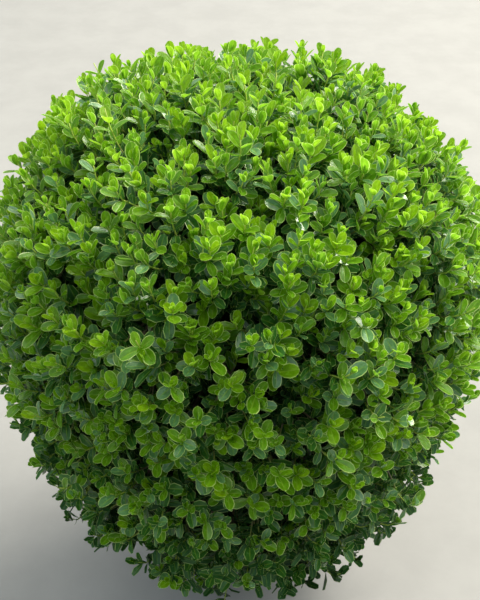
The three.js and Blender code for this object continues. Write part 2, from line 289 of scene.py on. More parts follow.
class StageSettings(bpy.types.PropertyGroup):
    """Floor, lights and camera."""

    floor: colour("Floor", "Pale floor", (0.28, 0.274, 0.266))
    key: number("Key", "Power of the light from behind", 520)
    fill: number("Fill", "Power of the light from the front", 22)
    sky: number("Sky", "Strength of the light from the open side", 2.1)
    open_side: FloatVectorProperty(
        name="Open side",
        description="Direction that most of the sky's light comes from",
        default=(0.38, 0.43, 0.81),
        subtype="DIRECTION",
    )
    horizon: number("Horizon", "Strength of the light from the horizon", 0.52)
    sky_tint: colour("Sky tint", "Tint of the light from the open side", (1, 0.975, 0.88))
    horizon_tint: colour("Horizon tint", "Tint of the light from the horizon", (0.72, 0.9, 1))
    backdrop: colour("Backdrop", "What the camera sees beyond the floor", (0.66, 0.65, 0.63))
    elevation: FloatProperty(
        name="Elevation",
        description="Angle of the camera above level",
        default=math.radians(37),
        subtype="ANGLE",
    )
    distance: length("Distance", "From the camera to the middle of the waist", 1.21)
    aim_drop: length("Aim", "How far below the middle of the waist the camera aims", 0.007)
    focal_length: number("Lens", "Focal length in mm", 60)


# ---------------------------------------------------------------- arrays and outlines


def unit(vectors):
    """Each vector divided by its length."""
    return vectors / np.maximum(np.linalg.norm(vectors, axis=-1, keepdims=True), 1e-12)


def ripple(points, wavelength, rng, waves=14):
    """Smooth noise, mostly between -1.5 and 1.5, from plane sine waves in seeded directions.

    It is their sum divided by the square root of their number.
    """
    directions = unit(rng.normal(size=(waves, 3))) * rng.uniform(*FREQUENCY_RANGE, (waves, 1))
    phases = rng.uniform(0, 2 * math.pi, waves)
    angles = points @ directions.T * (2 * math.pi / wavelength) + phases
    return np.sin(angles).sum(axis=-1) / math.sqrt(waves)


def outline_profile(latitude, ball):
    """Radius and height of the outline: one superellipse above the waist and another below it.

    The radius is the ball's times cos(latitude) to a power, and the height leaves the waist by
    the half's own height times |sin(latitude)| to the same power.
    """
    waist = ball.waist_share * ball.top
    below = latitude < 0
    power = np.where(below, ball.skirt_power, ball.shoulder_power)
    reach = np.where(below, waist - ball.foot, ball.top - waist)
    radius = ball.radius * np.cos(latitude) ** power
    rise = np.sign(latitude) * reach * np.abs(np.sin(latitude)) ** power
    return radius, waist + rise


def outline_points(latitude, azimuth, ball):
    """Points of the outline at arrays of latitude and azimuth."""
    radius, height = outline_profile(latitude, ball)
    return np.stack([radius * np.cos(azimuth), radius * np.sin(azimuth), height], axis=-1)


def even_points(count, ball):
    """Evenly spread points of the outline and the outward normals there.

    Latitudes cut the outline into bands of equal area, and each point is turned from the one
    before by the golden angle. A normal is at right angles to the profile's slope.
    """
    bands, step = 2000, 0.01
    edges = np.linspace(-math.pi / 2, math.pi / 2, bands + 1)
    radius, height = outline_profile(edges, ball)
    slant = np.hypot(np.diff(radius), np.diff(height))
    area = np.concatenate([[0], np.cumsum((radius[1:] + radius[:-1]) * slant)])
    latitude = np.interp(area[-1] * (np.arange(count) + 0.5) / count, area, edges)
    azimuth = np.arange(count) * GOLDEN_ANGLE
    low_radius, low_height = outline_profile(np.maximum(latitude - step, edges[0]), ball)
    high_radius, high_height = outline_profile(np.minimum(latitude + step, edges[-1]), ball)
    out, up = high_height - low_height, low_radius - high_radius
    normal = np.stack([out * np.cos(azimuth), out * np.sin(azimuth), up], axis=-1)
    return outline_points(latitude, azimuth, ball), unit(normal)


def heart_of(ball):
    """The middle of the waist, which every share of the outline is measured from."""
    return np.array([0.0, 0.0, ball.waist_share * ball.top])


def reach_of(points, ball):
    """How far out points lie: 1 on the outline and 0 at the heart.

    It is the superellipse's own measure: (across^p + along^p)^(1/p), with p = 2 / power.
    """
    waist = ball.waist_share * ball.top
    below = points[..., 2] < waist
    power = 2 / np.where(below, ball.skirt_power, ball.shoulder_power)
    height = np.where(below, waist - ball.foot, ball.top - waist)
    across = np.hypot(points[..., 0], points[..., 1]) / ball.radius
    along = np.abs(points[..., 2] - waist) / height
    return (across**power + along**power) ** (1 / power)


def nearest(points, parents):
    """For each point, the nearest of the parents."""
    gaps = np.linalg.norm(points[:, None] - parents[None], axis=-1)
    return parents[np.argmin(gaps, axis=1)]


def arc_at(arcs, t):
    """Points and directions of many arcs at t, which runs from 0 at the root to 1 at the tip.

    An arc is a quadratic Bezier curve: root (1-t)^2 + control 2t(1-t) + tip t^2.
    """
    root, control, tip = arcs
    t = t[..., None]
    points = root * (1 - t) ** 2 + control * 2 * t * (1 - t) + tip * t**2
    return points, unit((control - root) * (1 - t) + (tip - control) * t)


def arc_paths(arcs, count):
    """Points along many arcs as one array: arc, point, coordinate."""
    t = np.linspace(0, 1, count)[None].repeat(len(arcs[0]), axis=0)
    return arc_at([end[:, None] for end in arcs], t)[0]


# ---------------------------------------------------------------- growing


def grow_wood(ball, wood):
    """Leader, inner boughs, branches and three storeys of shoots, each forking from its parent.

    Inner boughs, branches and shoots end at evenly spread points of the outline drawn in to
    their own reach. Inner boughs leave the leader the further up the higher they end. Branches
    and heart shoots leave the nearest tip of an inner bough, and other shoots that of a branch.
    """
    rng = np.random.default_rng(ball.seed)
    heart = heart_of(ball)
    foot = np.array([LEADER_FOOT, 0, TRUNK_TOP])
    top = heart + UP * (ball.top - heart[2]) * wood.leader_share
    leader = [foot[None], ((foot + top) / 2 + LEADER_BOW)[None], top[None]]

    fork_points, _ = even_points(wood.inner_boughs, ball)
    fork = heart + (fork_points - heart) * wood.inner_share
    climb = np.clip(fork[:, 2] / ball.top, LOWEST_FORK, 1)[:, None]
    root = foot + (top - foot) * climb
    inner = [root, (root + fork) / 2 - UP * INNER_SAG, fork]

    branch_points, _ = even_points(wood.branches, ball)
    branch_tip = heart + (branch_points - heart) * wood.branch_share
    branch_tip += rng.normal(scale=BRANCH_SCATTER, size=branch_tip.shape)
    branch_root = nearest(branch_tip, fork)
    branch = [branch_root, (branch_root + branch_tip) / 2 - UP * BRANCH_SAG, branch_tip]

    return {
        "leader": leader,
        "inner": inner,
        "branch": branch,
        "shoot": grow_shoots(ball, wood, branch_tip, wood.shoots, 1, rng),
        "shade": grow_shoots(ball, wood, branch_tip, wood.shade_shoots, wood.shade_share, rng),
        "heart": grow_shoots(ball, wood, fork, wood.heart_shoots, wood.heart_share, rng),
    }


def grow_shoots(ball, wood, parents, count, reach, rng):
    """Shoots from the nearest parents to the outline drawn in to reach, as arcs.

    A shoot loses some of its reach in the ball's hollows and near the foot, is shifted sideways,
    and turns upwards at its tip. A few shoots have outgrown the last clipping and stand out.
    """
    heart = heart_of(ball)
    points, normals = even_points(count, ball)
    points = points + rng.uniform(-1, 1, points.shape) * SHOOT_SCATTER
    low = np.clip(1 - points[:, 2] / heart[2], 0, 1) ** 0.5
    hollows = ripple(points, ball.hollow_width, rng) - HOLLOW_START
    hollows = np.clip(hollows, 0, HOLLOW_LIMIT)
    gaps = np.clip(ripple(points, ball.gap_width, rng), 0, GAP_LIMIT) * (1 + ball.skirt_gap * low)
    unevenness = wood.shoot_unevenness + wood.skirt_unevenness * low * rng.random(count)
    loss = ball.hollow * hollows + ball.gap * gaps + unevenness * rng.random(count)
    loss -= wood.outgrowth * (rng.random(count) > CLIPPED_SHARE) * rng.random(count)
    tip = heart + (points - heart) * ((1 - loss) * reach)[:, None]
    root = nearest(tip - normals * SHOOT_DEPTH, parents)
    lean = unit(rng.normal(size=tip.shape))
    heading = unit(normals * OUTWARD + UP * wood.lift + lean * ASTRAY)
    chord = np.linalg.norm(tip - root, axis=1, keepdims=True)
    return [root, tip - heading * chord * 0.5, tip]


def grow_leaves(ball, leaf, arcs, pairs, growth, shade, rng):
    """The leaves of some shoots: root, blade, face, across, length, width, bend and tone.

    Pairs sit at even steps back from the tip of a shoot, each turned a quarter from the one
    before. The opening from the stem, the size and the tone follow the pair's age. growth scales
    the leaves. shade adds to the steps of age that set their tone, which darkens inner storeys
    partly by age and partly as painted shade. A place low on the ball adds to them too, partly by
    age and partly as painted shade at the foot, and one near the top takes from them, partly fresh
    growth and partly painted light.
    A leaf that would leave the ball, reach the ground or touch the trunk is skipped.
    """
    count = len(arcs[0])
    shape = (count, pairs, 2)
    chord = np.linalg.norm(arcs[2] - arcs[0], axis=1)
    age = np.arange(pairs)
    back = leaf.spacing * (BUD_GAP + FIRST_GAP * np.minimum(age, 1) + np.maximum(age - 1, 0))
    back = back * rng.uniform(*SPACING_RANGE, (count, 1))
    t = 1 - back / chord[:, None]
    point, along = arc_at([end[:, None] for end in arcs], np.clip(t, 0, 1))

    reference = unit(rng.normal(size=(count, 1, 3)))
    first = unit(np.cross(along, reference))
    second = np.cross(along, first)
    turn = (age % 2) * math.pi / 2 + rng.normal(scale=TURN_SCATTER, size=(count, pairs))
    side = first * np.cos(turn)[..., None] + second * np.sin(turn)[..., None]
    side = np.stack([side, -side], axis=2)

    opening = np.radians(np.interp(age, *OPENING_BY_AGE))
    opening = opening[None, :, None] + np.radians(rng.normal(scale=OPENING_SCATTER, size=shape))
    along = along[:, :, None]
    cosine, sine = np.cos(opening)[..., None], np.sin(opening)[..., None]
    blade = unit(along * cosine + side * sine + UP * BLADE_LIFT)
    face = along * sine - side * cosine + UP * FACE_LIFT
    face = unit(face - blade * (face * blade).sum(axis=-1, keepdims=True))
    roll = rng.normal(scale=ROLL_SCATTER, size=shape)[..., None]
    across = np.cross(blade, face)
    face = unit(face * np.cos(roll) + across * np.sin(roll))
    across = np.cross(blade, face)

    patches = ripple(arcs[2], ball.patch_width, rng)
    vigour = rng.random(count) * OWN_VIGOUR + BASE_VIGOUR + patches * PATCH_SWING
    vigour = np.clip(vigour, 0, 1)[:, None, None]
    size = growth * np.interp(age, *SIZE_BY_AGE)[None, :, None]
    size = size * rng.normal(1, SIZE_SCATTER, shape) * (WEAKEST_SIZE + VIGOUR_GAIN * vigour)
    long = leaf.length * size
    wide = leaf.width * size * rng.normal(1, WIDTH_SCATTER, shape)
    bend = np.interp(age, *BEND_BY_AGE)[None, :, None]
    bend = bend + rng.normal(scale=BEND_SCATTER, size=shape)

    # Tone by height: low leaves darker, partly by age and partly as painted shade at the foot, and
    # high leaves brighter, partly fresh growth and partly painted light on the top.
    height = arcs[2][:, 2] / ball.top
    low = np.clip(1 - height / leaf.dusk_share, 0, 1)
    high = np.clip((height - DAWN_START) / DAWN_SPAN, 0, 1)
    dusk = leaf.dusk * low * rng.uniform(*DUSK_RANGE, count)
    dusk -= leaf.dawn * high * rng.uniform(*DUSK_RANGE, count)
    dusk = np.floor(dusk + rng.random(count))[:, None, None]
    shift = (vigour < WEAK_BELOW) * 1 - (vigour > STRONG_ABOVE) * 1
    step = age[None, :, None] + shift + shade + dusk + (rng.random(shape) < OLDER_SHARE)
    reached = [step <= last for last in LAST_STEP.values()]
    numbers = [TONES.index(name) for name in LAST_STEP]
    tone = np.select(reached, numbers, default=TONES.index("inner"))
    # Some green leaves take the cool tone, a bluer green with a painted sheen of sky.
    sky_sheened = (tone == TONES.index("green")) & (rng.random(shape) < COOL_SHEEN_SHARE)
    tone = np.where(sky_sheened, TONES.index("cool_sheen"), tone)

    root = np.broadcast_to(point[:, :, None], shape + (3,))
    tip = root + blade * long[..., None]
    near_trunk = np.hypot(tip[..., 0], tip[..., 1]) < TRUNK_CLEARANCE
    near_trunk = near_trunk & (tip[..., 2] < TRUNK_TOP)
    kept = (t[:, :, None] > ROOT_CLEARANCE) & (reach_of(tip, ball) < REACH_LIMIT) & ~near_trunk
    kept = kept & (tip[..., 2] > ball.foot) & (rng.random(shape) > LOST_SHARE)
    values = (root, blade, face, across, long, wide, bend, tone)
    return [np.broadcast_to(value, shape + value.shape[3:])[kept] for value in values]


# ---------------------------------------------------------------- meshes


def mesh_piece(name, points, faces, uv, uv_names, smooth=True):
    """An object at the origin from arrays of points, of triangles and of each point's uv.

    The uv is stored under each of its names.
    """
    mesh = bpy.data.meshes.new(name)
    mesh.vertices.add(len(points))
    mesh.vertices.foreach_set("co", points.astype(np.float32).ravel())
    mesh.loops.add(faces.size)
    mesh.loops.foreach_set("vertex_index", faces.astype(np.int32).ravel())
    mesh.polygons.add(len(faces))
    mesh.polygons.foreach_set("loop_start", np.arange(0, faces.size, 3, dtype=np.int32))
    mesh.update(calc_edges=True)
    corners = uv[faces.ravel()].astype(np.float32).ravel()
    for uv_name in uv_names:
        layer = mesh.uv_layers.new(name=uv_name)
        layer.uv.foreach_set("vector", corners)
    if smooth:
        mesh.shade_smooth()
    if mesh.validate():
        raise RuntimeError(name + " has faces that Blender had to repair")
    piece = bpy.data.objects.new(name, mesh)
    bpy.context.scene.collection.objects.link(piece)
    return piece


def even_angles(count):
    """Angles at even steps round a ring."""
    return np.linspace(0, 2 * math.pi, count, endpoint=False)


def tubes(paths, radii, sides, relief=0):
    """Points, triangles and uv of round limbs along paths (limb, ring, coordinate).

    A ring's point is its middle + radius (cos a across + sin a third), where across is at right
    angles to the path and to one reference for the whole limb, which is up, or level for an
    upright limb. radii holds each ring's radius, and relief adds to it.
    """
    count, rings, _ = paths.shape
    along = unit(np.gradient(paths, axis=1))
    least_climb = 0.9
    upright = np.abs(unit(paths[:, -1] - paths[:, 0])[:, 2:]) > least_climb
    reference = np.where(upright, np.array([1.0, 0, 0]), UP)[:, None]
    across = unit(np.cross(reference, along))
    third = np.cross(along, across)
    angle = even_angles(sides)
    radius = np.broadcast_to(radii[:, None], (count, rings, sides)) + relief
    cosine, sine = np.cos(angle)[:, None], np.sin(angle)[:, None]
    offset = across[:, :, None] * cosine + third[:, :, None] * sine
    points = (paths[:, :, None] + offset * radius[..., None]).reshape(count, rings * sides, 3)
    points = np.concatenate([points, paths[:, :1], paths[:, -1:]], axis=1)

    ring, side = np.meshgrid(np.arange(rings - 1), np.arange(sides), indexing="ij")
    a = (ring * sides + side).ravel()
    b = (ring * sides + (side + 1) % sides).ravel()
    near, far = np.arange(sides), (rings - 1) * sides + np.arange(sides)
    foot, tip = np.full(sides, rings * sides), np.full(sides, rings * sides + 1)
    faces = np.concatenate(
        [
            np.stack([a, b, b + sides], axis=1),
            np.stack([a, b + sides, a + sides], axis=1),
            np.stack([foot, np.roll(near, -1), near], axis=1),
            np.stack([tip, far, np.roll(far, -1)], axis=1),
        ]
    )
    total = rings * sides + 2
    faces = (faces[None] + np.arange(count)[:, None, None] * total).reshape(-1, 3)
    around = np.abs(angle / math.pi - 1)
    uv = np.stack(np.meshgrid(np.linspace(0, 1, rings), around, indexing="ij")[::-1], axis=-1)
    uv = np.concatenate([uv.reshape(-1, 2), [[0.5, 0], [0.5, 1]]])
    return points.reshape(-1, 3), faces, np.tile(uv, (count, 1))


def joined(parts):
    """Several (points, triangles, uv) as one."""
    offsets = np.cumsum([0] + [len(points) for points, _, _ in parts[:-1]])
    points = np.concatenate([part[0] for part in parts])
    faces = np.concatenate([part[1] + offset for part, offset in zip(parts, offsets)])
    return points, faces, np.concatenate([part[2] for part in parts])


def blade_width(v):
    """Half width of a blade at v along it, not yet scaled: v^SWELL_POWER sqrt(1 - v^TIP_POWER)."""
    return v**SWELL_POWER * np.sqrt(1 - v**TIP_POWER)


def leaf_blade(stations):
    """One leaf blade of unit length: points (across, along, rise), triangles and uv.

    Its half width is scaled so that the widest place is 1. Each half has a line of points on the
    midrib and one on the rim, and the halves don't share points, so the midrib stays crisp.
    """
    v = np.asarray(stations, dtype=float)
    half_width = blade_width(v) / blade_width(np.linspace(0, 1, 400)).max()
    rows = len(v)
    points, faces, uv = [], [], []
    for hand in (1, -1):
        start = sum(len(part) for part in points)
        rib = np.stack([0 * v, v, 0 * v], axis=1)
        inner = slice(1, rows - 1)
        rim = np.stack([hand * half_width, v, half_width], axis=1)[inner]
        points += [rib, rim]
        uv += [
            np.stack([0 * v + 0.5, v], axis=1),
            np.stack([0 * v + 0.5 + 0.5 * hand, v], axis=1)[inner],
        ]
        k = np.arange(rows - 3)
        first, outer = start + k + 1, start + rows + k
        strip = np.concatenate(
            [
                np.stack([first, outer, outer + 1], axis=1),
                np.stack([first, outer + 1, first + 1], axis=1),
                [[start, start + rows, start + 1]],
                [[start + rows - 2, start + 2 * rows - 3, start + rows - 1]],
            ]
        )
        faces.append(strip if hand == 1 else strip[:, ::-1])
    return np.concatenate(points), np.concatenate(faces), np.concatenate(uv)


def leaf_mesh(leaves, cup, stations):
    """Points, triangles and uv of many leaves.

    A leaf's point is root + along L blade + across W/2 side + lift face, where lift is
    cup rise W/2 + bend along^2 L.
    """
    root, blade, face, side, long, wide, bend = [value[:, None] for value in leaves]
    points, faces, uv = leaf_blade(stations)
    across, along, rise = points.T[..., None]
    long, half, bend = long[..., None], wide[..., None] / 2, bend[..., None]
    lift = cup * rise * half + bend * along**2 * long
    placed = root + blade * (along * long) + side * (across * half) + face * lift
    count = len(root)
    triangles = faces[None] + np.arange(count)[:, None, None] * len(points)
    return placed.reshape(-1, 3), triangles.reshape(-1, 3), np.tile(uv, (count, 1))


# ---------------------------------------------------------------- node groups and materials


def new_group(name, inputs, outputs):
    """An empty shader node group with named sockets, and its input and output nodes.

    inputs and outputs give each socket's kind by its name. Whoever places the group sets them all.
    """
    group = bpy.data.node_groups.new(name, "ShaderNodeTree")
    for side, sockets in (("INPUT", inputs), ("OUTPUT", outputs)):
        for label, kind in sockets.items():
            socket_type = "NodeSocket" + kind
            group.interface.new_socket(name=label, in_out=side, socket_type=socket_type)
    return group, group.nodes.new("NodeGroupInput"), group.nodes.new("NodeGroupOutput")


def connect(tree, node, **inputs):
    """Puts links or values into a node's inputs, by socket name or as i0, i1 and so on."""
    for key, value in inputs.items():
        name = key.replace("_", " ")
        socket = node.inputs[int(name[1:])] if name[1:].isdigit() else node.inputs[name]
        if isinstance(value, bpy.types.NodeSocket):
            tree.links.new(value, socket)
        else:
            socket.default_value = value


def wire(tree, kind, settings=None, **inputs):
    """A new node of that kind, with its settings and its inputs connected."""
    node = tree.nodes.new("ShaderNode" + kind)
    for key, value in (settings or {}).items():
        setattr(node, key, value)
    connect(tree, node, **inputs)
    return node


def math_node(tree, operation, *values):
    """The value of one Math node."""
    inputs = {f"i{n}": value for n, value in enumerate(values)}
    return wire(tree, "Math", {"operation": operation}, **inputs).outputs[0]


def fade(tree, value, low, high, low_value=0.0, high_value=1.0):
    """A smooth step from low_value at low to high_value at high."""
    settings = {"interpolation_type": "SMOOTHSTEP"}
    ends = {"From_Min": low, "From_Max": high, "To_Min": low_value, "To_Max": high_value}
    return wire(tree, "MapRange", settings, Value=value, **ends).outputs["Result"]


def mixed(tree, factor, a, b):
    """The colour of one Mix node: a at factor 0 and b at factor 1."""
    return wire(tree, "Mix", {"data_type": "RGBA"}, i0=factor, i6=a, i7=b).outputs[2]


def leaf_group():
    """Leaf face: pale rim and midrib, faint side veins and a mottled blade, from the leaf's uv.

    The pale rim is partly the margin's own colour and partly a painted highlight where it catches
    the light.
    """
    if "Leaf Face" in bpy.data.node_groups:
        return bpy.data.node_groups["Leaf Face"]
    tree, given, result = new_group(
        "Leaf Face",
        {
            "Leaf UV": "Vector",
            "Blade": "Color",
            "Rim": "Color",
            "Rib": "Color",
            "Rim Strength": "Float",
            "Rib Strength": "Float",
        },
        {"Color": "Color", "Height": "Float", "Roughness": "Float"},
    )
    # Where each mark begins and ends, across the leaf from the midrib or along it from the root.
    rim_edge, tip_edge, rib_edge, rib_end = (0.82, 0.95), (0.95, 1.0), (0.05, 0.16), (0.6, 1)
    vein_edge, vein_end = (0.4, 1), (0.85, 1.0)
    vein_slant, vein_frequency, vein_shade, vein_height = -0.32, 44.0, 0.07, -0.35
    darkest, palest, smoothest, roughest = 0.8, 1.16, 0.1, 0.3
    spot = wire(tree, "SeparateXYZ", Vector=given.outputs["Leaf UV"])
    centred = math_node(tree, "MULTIPLY_ADD", spot.outputs[0], 2.0, -1.0)
    across = math_node(tree, "ABSOLUTE", centred)
    along = spot.outputs[1]
    # The pale rim: partly the thickened margin's own colour, partly a painted highlight.
    rim = math_node(tree, "MAXIMUM", fade(tree, across, *rim_edge), fade(tree, along, *tip_edge))
    rib_width, rib_taper = fade(tree, across, *rib_edge, 1, 0), fade(tree, along, *rib_end, 1, 0.2)
    rib = math_node(tree, "MULTIPLY", rib_width, rib_taper)
    slope = math_node(tree, "MULTIPLY_ADD", across, vein_slant, along)
    wave = math_node(tree, "SINE", math_node(tree, "MULTIPLY", slope, vein_frequency))
    inside = fade(tree, across, *vein_end, 1, 0)
    veins = math_node(tree, "MULTIPLY", fade(tree, wave, *vein_edge), inside)
    noise = wire(tree, "TexNoise", Vector=given.outputs["Leaf UV"], Scale=3.2, Detail=3.0)
    shade = fade(tree, noise.outputs["Fac"], *NOISE_RANGE, darkest, palest)
    shade = math_node(tree, "MULTIPLY_ADD", veins, vein_shade, shade)
    blade = wire(tree, "HueSaturation", Color=given.outputs["Blade"], Value=shade).outputs[0]
    rib_share = math_node(tree, "MULTIPLY", rib, given.outputs["Rib Strength"])
    ribbed = mixed(tree, rib_share, blade, given.outputs["Rib"])
    rim_and_glint_share = math_node(tree, "MULTIPLY", rim, given.outputs["Rim Strength"])
    with_rim_and_glint = mixed(tree, rim_and_glint_share, ribbed, given.outputs["Rim"])
    raised = math_node(tree, "SUBTRACT", rim, rib)
    height = math_node(tree, "MULTIPLY_ADD", veins, vein_height, raised)
    roughness = fade(tree, noise.outputs["Fac"], *NOISE_RANGE, smoothest, roughest)
    connect(tree, result, Color=with_rim_and_glint, Height=height, Roughness=roughness)
    return tree


def bark_group():
    """Bark skin: lengthwise furrows, broken plates and pale spots, from a stretched vector."""
    if "Bark Skin" in bpy.data.node_groups:
        return bpy.data.node_groups["Bark Skin"]
    tree, given, result = new_group(
        "Bark Skin",
        {"Vector": "Vector", "Ridge": "Color", "Furrow": "Color", "Scale": "Float"},
        {"Color": "Color", "Height": "Float"},
    )
    ridge_edge, spot_edge = (0.4, 0.6), (0.52, 0.7)
    dark_skin, pale_spot, fineness, spot_height = 0.85, 1.35, 5.0, 0.35
    vector, scale = given.outputs["Vector"], given.outputs["Scale"]
    coarse = wire(tree, "TexNoise", Vector=vector, Scale=scale, Detail=6.0)
    fine_scale = math_node(tree, "MULTIPLY", scale, fineness)
    fine = wire(tree, "TexNoise", Vector=vector, Scale=fine_scale, Detail=4.0)
    ridge = fade(tree, coarse.outputs["Fac"], *ridge_edge)
    spots = fade(tree, fine.outputs["Fac"], *spot_edge, dark_skin, pale_spot)
    bare = mixed(tree, ridge, given.outputs["Furrow"], given.outputs["Ridge"])
    skin = wire(tree, "HueSaturation", Color=bare, Value=spots).outputs[0]
    height = math_node(tree, "MULTIPLY_ADD", fine.outputs["Fac"], spot_height, ridge)
    connect(tree, result, Color=skin, Height=height)
    return tree


def new_material(name):
    """An empty node material and its output node."""
    material = bpy.data.materials.new(name)
    material.use_nodes = True
    material.node_tree.nodes.clear()
    return material, material.node_tree, material.node_tree.nodes.new("ShaderNodeOutputMaterial")


def leaf_material(tone, leaf, rim_strength, glow, ior):
    """A leaf's finish: a waxy face, a duller and paler underside, and light that comes through.

    glow is the share of light that comes through, and ior is the index of refraction.
    """
    material, tree, output = new_material("leaf_" + tone)
    uv = wire(tree, "UVMap", {"uv_map": "LeafUV"}).outputs[0]
    face = wire(
        tree,
        "Group",
        {"node_tree": leaf_group()},
        Leaf_UV=uv,
        Blade=(*getattr(leaf, tone), 1),
        Rim=(*leaf.rim, 1),
        Rib=(*leaf.rib, 1),
        Rim_Strength=rim_strength,
        Rib_Strength=rim_strength * 0.5,
    )
    behind = wire(tree, "NewGeometry").outputs["Backfacing"]
    pale = wire(tree, "HueSaturation", Color=face.outputs["Color"], Saturation=0.98, Value=1.2)
    both = mixed(tree, behind, face.outputs["Color"], pale.outputs[0])
    dullness = 0.3
    dull = math_node(tree, "MULTIPLY_ADD", behind, dullness, face.outputs["Roughness"])
    bump = wire(tree, "Bump", Height=face.outputs["Height"], Distance=0.0003, Strength=0.6)
    skin = wire(
        tree, "BsdfPrincipled", Base_Color=both, Roughness=dull, IOR=ior, Normal=bump.outputs[0]
    )
    through = wire(tree, "BsdfTranslucent", Color=both)
    blend = wire(tree, "MixShader", i0=glow, i1=skin.outputs[0], i2=through.outputs[0])
    connect(tree, output, Surface=blend.outputs[0])
    return material


def bark_material(name, ridge, furrow, scale, stretch, bump_distance, on_uv=False):
    """A bark finish on object coordinates or on the limb's own uv, drawn out along its length."""
    material, tree, output = new_material(name)
    if on_uv:
        place = wire(tree, "UVMap", {"uv_map": "BarkUV"}).outputs[0]
        mapped = wire(tree, "Mapping", Vector=place, Scale=(1, 1 / stretch, 1)).outputs[0]
    else:
        place = wire(tree, "TexCoord").outputs["Object"]
        mapped = wire(tree, "Mapping", Vector=place, Scale=(1, 1, 1 / stretch)).outputs[0]
    skin = wire(
        tree,
        "Group",
        {"node_tree": bark_group()},
        Vector=mapped,
        Ridge=(*ridge, 1),
        Furrow=(*furrow, 1),
        Scale=scale,
    )
    bump = wire(tree, "Bump", Height=skin.outputs["Height"], Distance=bump_distance, Strength=0.8)
    shader = wire(
        tree,
        "BsdfPrincipled",
        Base_Color=skin.outputs["Color"],
        Roughness=0.85,
        Normal=bump.outputs[0],
    )
    connect(tree, output, Surface=shader.outputs[0])
    return material


def stem_material(name, bark):
    """A shoot's skin: brown bark at its root that turns to a smooth green towards its tip."""
    material, tree, output = new_material(name)
    uv = wire(tree, "UVMap", {"uv_map": "BarkUV"}).outputs[0]
    along = wire(tree, "SeparateXYZ", Vector=uv).outputs[1]
    noise = wire(tree, "TexNoise", Vector=uv, Scale=7.0, Detail=2.0).outputs["Fac"]
    brown_until, green_from, unevenness = 0.4, 0.75, 0.3
    darkest, palest = 0.85, 1.15
    uneven = math_node(tree, "MULTIPLY_ADD", noise, unevenness, along)
    ripe = fade(tree, uneven, brown_until, green_from)
    skin = mixed(tree, ripe, (*bark.twig_colour, 1), (*bark.stem_colour, 1))
    shade = fade(tree, noise, *NOISE_RANGE, darkest, palest)
    mottled = wire(tree, "HueSaturation", Color=skin, Value=shade).outputs[0]
    bump = wire(tree, "Bump", Height=noise, Distance=0.0002, Strength=0.5).outputs[0]
    shader = wire(tree, "BsdfPrincipled", Base_Color=mottled, Roughness=0.6, Normal=bump)
    connect(tree, output, Surface=shader.outputs[0])
    return material


def finished(piece, material, slot, *nodes):
    """Gives a piece its material and its body, and hides the CAD nodes that it stands for. Its slot
    is not used.
    """
    piece.data.materials.append(material)
    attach(piece, "root")
    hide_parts(*nodes)


# ---------------------------------------------------------------- operators


class TopiaryOperator:
    """What every operator here shares."""

    bl_options = {"REGISTER", "UNDO"}


class TOPIARY_OT_bark(TopiaryOperator, bpy.types.Operator):
    """Makes the trunk and the side boughs with the relief of their bark"""

    bl_idname = "topiary.bark"
    bl_label = "Trunk and Side Boughs"

    def execute(self, context):
        bark = context.scene.topiary_bark
        rng = np.random.default_rng(context.scene.topiary_ball.seed + 2)
        parts = [trunk_mesh(bark, rng)]
        parts += [side_bough_mesh(n, bark, rng) for n in range(len(BOUGHS))]
        piece = mesh_piece("trunk_and_boughs", *joined(parts), ["BarkUV"])
        material = bark_material(
            "old_bark",
            bark.old_colour,
            bark.furrow_colour,
            scale=120,
            stretch=4,
            bump_distance=0.0012,
        )
        finished(piece, material, "bark", "trunk", *BOUGHS)
        return {"FINISHED"}


def furrows(paths, sides, depth, rng):
    """Relief of bark: noise on a tube round the limb, drawn out along it and cut off smoothly.

    Relief = depth (tanh(sharpness noise) - sink), so more of it lies below the limb's own radius.
    """
    sharpness, sink = 1.4, 0.3
    tube_radius, furrow_width = 0.02, 0.011
    drawn_out = np.array([0.2, 0.2, 0.25])
    angle = even_angles(sides)
    ring = np.stack([np.cos(angle), np.sin(angle), 0 * angle], axis=-1) * tube_radius
    noise = ripple(ring[None, None] + paths[:, :, None] * drawn_out, furrow_width, rng, waves=24)
    return depth * (np.tanh(noise * sharpness) - sink)


def lean_at(height, bark):
    """Sideways travel of the trunk at a height: lean (height / top)^LEAN_POWER."""
    return bark.lean * (height / TRUNK_TOP) ** LEAN_POWER


def trunk_mesh(bark, rng, rings=60, sides=72):
    """Trunk: level rings whose radius falls from the buttressed flare to the tip, with a lean.

    Radius = taper + (flare - base) f, times 1 + buttress depth f cos(5a), where f is the square
    of what is left of the flare's height.
    """
    foot_crowding = 1.2
    height = TRUNK_TOP * np.linspace(0, 1, rings) ** foot_crowding
    path = np.stack([lean_at(height, bark), 0 * height, height], axis=-1)[None]
    flare = np.clip(1 - height / bark.flare_height, 0, None) ** 2
    taper = bark.radius + (bark.tip_radius - bark.radius) * height / TRUNK_TOP
    radius = taper + (bark.flare_radius - bark.radius) * flare
    angle = even_angles(sides)
    lobes = np.cos(len(BOUGHS) * (angle + math.pi / 2))
    buttress = radius[:, None] * bark.buttress_depth * flare[:, None] * lobes
    relief = furrows(path, sides, bark.relief, rng) + buttress[None]
    points, faces, uv = tubes(path, radius, sides, relief)
    points[:, 2] = np.clip(points[:, 2], 0, TRUNK_TOP)
    points[:sides, 2] = 0
    return points, faces, uv


